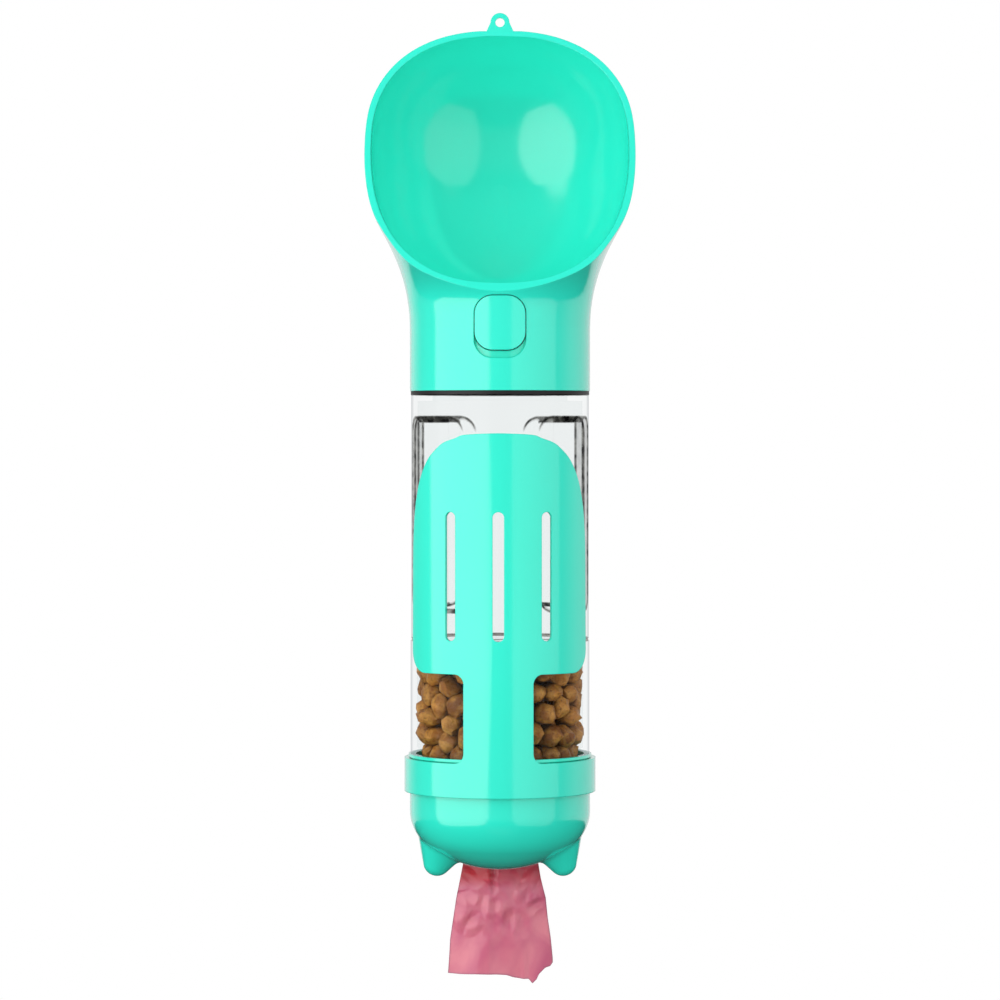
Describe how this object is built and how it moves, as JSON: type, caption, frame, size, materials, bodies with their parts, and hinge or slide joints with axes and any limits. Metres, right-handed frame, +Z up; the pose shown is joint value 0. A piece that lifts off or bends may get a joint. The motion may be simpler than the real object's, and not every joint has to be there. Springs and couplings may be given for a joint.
{
  "type": "pet travel water bottle",
  "caption": "Hand-held travel drinking bottle for pets: a bowl head with a press valve, a clear water bottle, a food container, a scoop and a domed bag box with ears.",
  "frame": {"origin": "centre of the hanging eye's bore, which lies on the bottle's own axis", "axes": "+Z up along the bottle's axis; -Y to the front, where the bowl's mouth and the button face; +X to the right as seen from the front"},
  "size_m": [0.0936, 0.067, 0.339],
  "materials": {
    "teal_abs": "glossy moulded ABS",
    "white_pom": "satin moulded acetal",
    "white_silicone": "matte silicone",
    "clear_silicone": "translucent silicone",
    "stainless_steel": "stamped stainless steel",
    "spring_steel": "drawn spring wire",
    "black_rubber": "matte black rubber",
    "clear_plastic": "clear moulded plastic",
    "dry_food": "dry baked kibble",
    "pink_film": "thin blown film",
    "grey_board": "wound board tube"
  },
  "bodies": {
    "head": {"drinking_head": "teal_abs", "neck_cap": "white_pom", "outlet_seal": "white_silicone", "stem_seal": "white_silicone", "gland_washer": "stainless_steel", "valve_spring": "spring_steel", "button_springs": "spring_steel"},
    "carriage": {"press_carriage": "white_pom"},
    "button": {"water_button": "teal_abs"},
    "stem": {"valve_stem": "white_pom", "valve_plug": "white_silicone"},
    "neck_ring": {"head_gasket": "black_rubber"},
    "bottle": {"water_bottle": "clear_plastic"},
    "seam_ring": {"container_gasket": "clear_silicone"},
    "container": {"food_container": "clear_plastic", "kibble": "dry_food"},
    "box": {"bag_box": "teal_abs", "bag_tail": "pink_film"},
    "roll": {"bag_roll": "pink_film", "roll_core": "grey_board"},
    "scoop": {"scoop": "teal_abs"}
  },
  "joints": [
    {"name": "button_press", "type": "slide", "parent": "head", "child": "carriage", "axis": [0, 1, 0], "range_m": [0, 0.003], "stiffness_N_per_m": 250, "springref_m": -0.003, "deforming": ["button_springs"]},
    {"name": "button_lock", "type": "slide", "parent": "carriage", "child": "button", "axis": [0, 0, 1], "range_m": [-0.0025, 0]},
    {"name": "valve_lift", "type": "slide", "parent": "head", "child": "stem", "axis": [0, 0, -1], "range_m": [0, 0.003], "deforming": ["valve_spring"]},
    {"name": "bottle_drop", "type": "slide", "parent": "head", "child": "neck_ring", "axis": [0, 0, -1], "range_m": [0, 0.006]},
    {"name": "bottle_thread", "type": "hinge", "parent": "neck_ring", "child": "bottle", "pos_m": [0, 0, -0.124], "axis": [0, 0, -1], "range_deg": [0, 540]},
    {"name": "container_drop", "type": "slide", "parent": "bottle", "child": "seam_ring", "axis": [0, 0, -1], "range_m": [0, 0.004]},
    {"name": "container_thread", "type": "hinge", "parent": "seam_ring", "child": "container", "pos_m": [0, 0, -0.2185], "axis": [0, 0, -1], "range_deg": [0, 360]},
    {"name": "box_off", "type": "slide", "parent": "container", "child": "box", "axis": [0, 0, -1], "range_m": [0, 0.01]},
    {"name": "roll_spin", "type": "hinge", "parent": "box", "child": "roll", "pos_m": [0, 0, -0.2745], "axis": [1, 0, 0], "continuous": true},
    {"name": "scoop_off", "type": "slide", "parent": "box", "child": "scoop", "axis": [0, 0, -1], "range_m": [0, 0.045]}
  ],
  "couplings": [
    {"joint": "valve_lift", "follows": "button_press", "ratio": 1},
    {"joint": "bottle_drop", "follows": "bottle_thread", "m_per_rad": 0.00063662},
    {"joint": "container_drop", "follows": "container_thread", "m_per_rad": 0.00063662}
  ]
}
